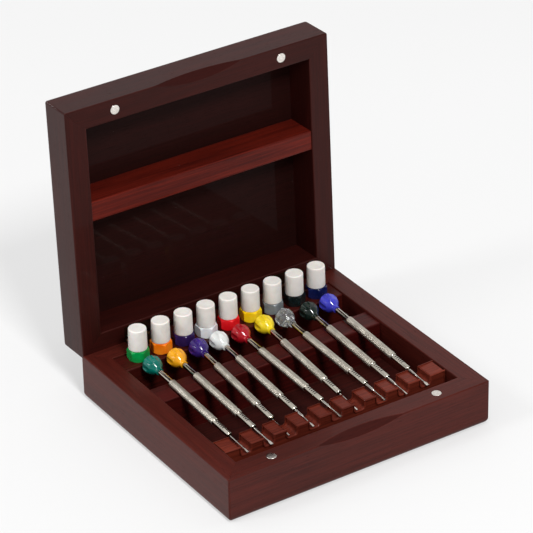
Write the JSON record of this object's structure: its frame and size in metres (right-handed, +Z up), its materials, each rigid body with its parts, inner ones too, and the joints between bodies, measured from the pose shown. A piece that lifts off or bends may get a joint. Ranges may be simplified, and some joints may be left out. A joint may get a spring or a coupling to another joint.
{
  "type": "precision screwdriver set",
  "caption": "Hinged dark wooden case with magnet catches, holding a row of swivel-head precision screwdrivers with colour-coded heads and a row of stoppered blade vials.",
  "frame": {"origin": "centre of the base's flat underside", "axes": "+Z up, -Y out of the case's front with its finger notch, +X to the right seen from the front; the lid stands open at the back"},
  "size_m": [0.18, 0.189, 0.1872],
  "materials": {
    "dark_wood": "stained dark, satin lacquer",
    "red_wood": "stained red-brown, satin lacquer",
    "nickel": "polished nickel plate",
    "brass": "satin",
    "knurled_steel": "satin nickel, finely knurled, polished neck",
    "blade_steel": "ground and polished",
    "stopper_white": "moulded off-white",
    "head_teal": "moulded, glossy",
    "head_amber": "moulded, glossy",
    "head_violet": "moulded, glossy",
    "head_white": "moulded, glossy",
    "head_red": "moulded, glossy",
    "head_yellow": "moulded, glossy",
    "head_clear": "moulded, glossy",
    "head_black": "moulded, glossy",
    "head_blue": "moulded, glossy",
    "tube_green": "moulded, glossy",
    "tube_orange": "moulded, glossy",
    "tube_violet": "moulded, glossy",
    "tube_white": "moulded, glossy",
    "tube_red": "moulded, glossy",
    "tube_yellow": "moulded, glossy",
    "tube_grey": "moulded, glossy",
    "tube_black": "moulded, glossy",
    "tube_navy": "moulded, glossy"
  },
  "bodies": {
    "base": {"base_frame": "dark_wood", "base_floor": "dark_wood", "vial_rack": "red_wood", "rest_bar": "red_wood", "comb_bar": "red_wood", "base_magnets": "nickel", "hinge_base_leaves": "brass", "hinge_pins": "brass", "hinge_base_screws": "brass"},
    "lid": {"lid_frame": "dark_wood", "lid_panel": "dark_wood", "lid_bar": "red_wood", "lid_magnets": "nickel", "hinge_lid_leaves": "brass", "hinge_lid_screws": "brass"},
    "driver_1": {"driver_1_barrel": "knurled_steel", "driver_1_blade": "blade_steel"},
    "swivel_1": {"driver_1_head": "head_teal"},
    "vial_1": {"vial_1_tube": "tube_green"},
    "stopper_1": {"vial_1_stopper": "stopper_white"},
    "driver_2": {"driver_2_barrel": "knurled_steel", "driver_2_blade": "blade_steel"},
    "swivel_2": {"driver_2_head": "head_amber"},
    "vial_2": {"vial_2_tube": "tube_orange"},
    "stopper_2": {"vial_2_stopper": "stopper_white"},
    "driver_3": {"driver_3_barrel": "knurled_steel", "driver_3_blade": "blade_steel"},
    "swivel_3": {"driver_3_head": "head_violet"},
    "vial_3": {"vial_3_tube": "tube_violet"},
    "stopper_3": {"vial_3_stopper": "stopper_white"},
    "driver_4": {"driver_4_barrel": "knurled_steel", "driver_4_blade": "blade_steel"},
    "swivel_4": {"driver_4_head": "head_white"},
    "vial_4": {"vial_4_tube": "tube_white"},
    "stopper_4": {"vial_4_stopper": "stopper_white"},
    "driver_5": {"driver_5_barrel": "knurled_steel", "driver_5_blade": "blade_steel"},
    "swivel_5": {"driver_5_head": "head_red"},
    "vial_5": {"vial_5_tube": "tube_red"},
    "stopper_5": {"vial_5_stopper": "stopper_white"},
    "driver_6": {"driver_6_barrel": "knurled_steel", "driver_6_blade": "blade_steel"},
    "swivel_6": {"driver_6_head": "head_yellow"},
    "vial_6": {"vial_6_tube": "tube_yellow"},
    "stopper_6": {"vial_6_stopper": "stopper_white"},
    "driver_7": {"driver_7_barrel": "knurled_steel", "driver_7_blade": "blade_steel"},
    "swivel_7": {"driver_7_head": "head_clear"},
    "vial_7": {"vial_7_tube": "tube_grey"},
    "stopper_7": {"vial_7_stopper": "stopper_white"},
    "driver_8": {"driver_8_barrel": "knurled_steel", "driver_8_blade": "blade_steel"},
    "swivel_8": {"driver_8_head": "head_black"},
    "vial_8": {"vial_8_tube": "tube_black"},
    "stopper_8": {"vial_8_stopper": "stopper_white"},
    "driver_9": {"driver_9_barrel": "knurled_steel", "driver_9_blade": "blade_steel"},
    "swivel_9": {"driver_9_head": "head_blue"},
    "vial_9": {"vial_9_tube": "tube_navy"},
    "stopper_9": {"vial_9_stopper": "stopper_white"}
  },
  "joints": [
    {"name": "lid_hinge", "type": "hinge", "parent": "base", "child": "lid", "pos_m": [0, 0.0781, 0.02905], "axis": [-1, 0, 0], "range_deg": [-92.24, 0]},
    {"name": "driver_1_lift", "type": "slide", "parent": "base", "child": "driver_1", "axis": [0, 0, 1], "range_m": [0, 0.04]},
    {"name": "driver_2_lift", "type": "slide", "parent": "base", "child": "driver_2", "axis": [0, 0, 1], "range_m": [0, 0.04]},
    {"name": "driver_3_lift", "type": "slide", "parent": "base", "child": "driver_3", "axis": [0, 0, 1], "range_m": [0, 0.04]},
    {"name": "driver_4_lift", "type": "slide", "parent": "base", "child": "driver_4", "axis": [0, 0, 1], "range_m": [0, 0.04]},
    {"name": "driver_5_lift", "type": "slide", "parent": "base", "child": "driver_5", "axis": [0, 0, 1], "range_m": [0, 0.04]},
    {"name": "driver_6_lift", "type": "slide", "parent": "base", "child": "driver_6", "axis": [0, 0, 1], "range_m": [0, 0.04]},
    {"name": "driver_7_lift", "type": "slide", "parent": "base", "child": "driver_7", "axis": [0, 0, 1], "range_m": [0, 0.04]},
    {"name": "driver_8_lift", "type": "slide", "parent": "base", "child": "driver_8", "axis": [0, 0, 1], "range_m": [0, 0.04]},
    {"name": "driver_9_lift", "type": "slide", "parent": "base", "child": "driver_9", "axis": [0, 0, 1], "range_m": [0, 0.04]},
    {"name": "vial_1_lift", "type": "slide", "parent": "base", "child": "vial_1", "axis": [0, 0, 1], "range_m": [0, 0.03]},
    {"name": "vial_2_lift", "type": "slide", "parent": "base", "child": "vial_2", "axis": [0, 0, 1], "range_m": [0, 0.03]},
    {"name": "vial_3_lift", "type": "slide", "parent": "base", "child": "vial_3", "axis": [0, 0, 1], "range_m": [0, 0.03]},
    {"name": "vial_4_lift", "type": "slide", "parent": "base", "child": "vial_4", "axis": [0, 0, 1], "range_m": [0, 0.03]},
    {"name": "vial_5_lift", "type": "slide", "parent": "base", "child": "vial_5", "axis": [0, 0, 1], "range_m": [0, 0.03]},
    {"name": "vial_6_lift", "type": "slide", "parent": "base", "child": "vial_6", "axis": [0, 0, 1], "range_m": [0, 0.03]},
    {"name": "vial_7_lift", "type": "slide", "parent": "base", "child": "vial_7", "axis": [0, 0, 1], "range_m": [0, 0.03]},
    {"name": "vial_8_lift", "type": "slide", "parent": "base", "child": "vial_8", "axis": [0, 0, 1], "range_m": [0, 0.03]},
    {"name": "vial_9_lift", "type": "slide", "parent": "base", "child": "vial_9", "axis": [0, 0, 1], "range_m": [0, 0.03]},
    {"name": "stopper_1_pull", "type": "slide", "parent": "vial_1", "child": "stopper_1", "axis": [0, 0, 1], "range_m": [0, 0.016]},
    {"name": "stopper_2_pull", "type": "slide", "parent": "vial_2", "child": "stopper_2", "axis": [0, 0, 1], "range_m": [0, 0.016]},
    {"name": "stopper_3_pull", "type": "slide", "parent": "vial_3", "child": "stopper_3", "axis": [0, 0, 1], "range_m": [0, 0.016]},
    {"name": "stopper_4_pull", "type": "slide", "parent": "vial_4", "child": "stopper_4", "axis": [0, 0, 1], "range_m": [0, 0.016]},
    {"name": "stopper_5_pull", "type": "slide", "parent": "vial_5", "child": "stopper_5", "axis": [0, 0, 1], "range_m": [0, 0.016]},
    {"name": "stopper_6_pull", "type": "slide", "parent": "vial_6", "child": "stopper_6", "axis": [0, 0, 1], "range_m": [0, 0.016]},
    {"name": "stopper_7_pull", "type": "slide", "parent": "vial_7", "child": "stopper_7", "axis": [0, 0, 1], "range_m": [0, 0.016]},
    {"name": "stopper_8_pull", "type": "slide", "parent": "vial_8", "child": "stopper_8", "axis": [0, 0, 1], "range_m": [0, 0.016]},
    {"name": "stopper_9_pull", "type": "slide", "parent": "vial_9", "child": "stopper_9", "axis": [0, 0, 1], "range_m": [0, 0.016]},
    {"name": "head_1_swivel", "type": "hinge", "parent": "driver_1", "child": "swivel_1", "pos_m": [-0.06234, 0.03848, 0.02978], "axis": [-0.007, 0.9982, 0.0604], "continuous": true},
    {"name": "head_2_swivel", "type": "hinge", "parent": "driver_2", "child": "swivel_2", "pos_m": [-0.04641, 0.03728, 0.02971], "axis": [-0.0035, 0.9982, 0.0604], "continuous": true},
    {"name": "head_3_swivel", "type": "hinge", "parent": "driver_3", "child": "swivel_3", "pos_m": [-0.03021, 0.03927, 0.02983], "axis": [0.0314, 0.9977, 0.0604], "continuous": true},
    {"name": "head_4_swivel", "type": "hinge", "parent": "driver_4", "child": "swivel_4", "pos_m": [-0.01578, 0.03907, 0.02982], "axis": [0.0087, 0.9981, 0.0604], "continuous": true},
    {"name": "head_5_swivel", "type": "hinge", "parent": "driver_5", "child": "swivel_5", "pos_m": [-0.00054, 0.03847, 0.02978], "axis": [-0.0279, 0.9978, 0.0604], "continuous": true},
    {"name": "head_6_swivel", "type": "hinge", "parent": "driver_6", "child": "swivel_6", "pos_m": [0.01631, 0.03917, 0.02983], "axis": [0.0279, 0.9978, 0.0604], "continuous": true},
    {"name": "head_7_swivel", "type": "hinge", "parent": "driver_7", "child": "swivel_7", "pos_m": [0.03094, 0.03847, 0.02978], "axis": [-0.0209, 0.998, 0.0604], "continuous": true},
    {"name": "head_8_swivel", "type": "hinge", "parent": "driver_8", "child": "swivel_8", "pos_m": [0.047, 0.03668, 0.02967], "axis": [0, 0.9982, 0.0604], "continuous": true},
    {"name": "head_9_swivel", "type": "hinge", "parent": "driver_9", "child": "swivel_9", "pos_m": [0.062, 0.03748, 0.02972], "axis": [-0.0052, 0.9982, 0.0604], "continuous": true}
  ]
}
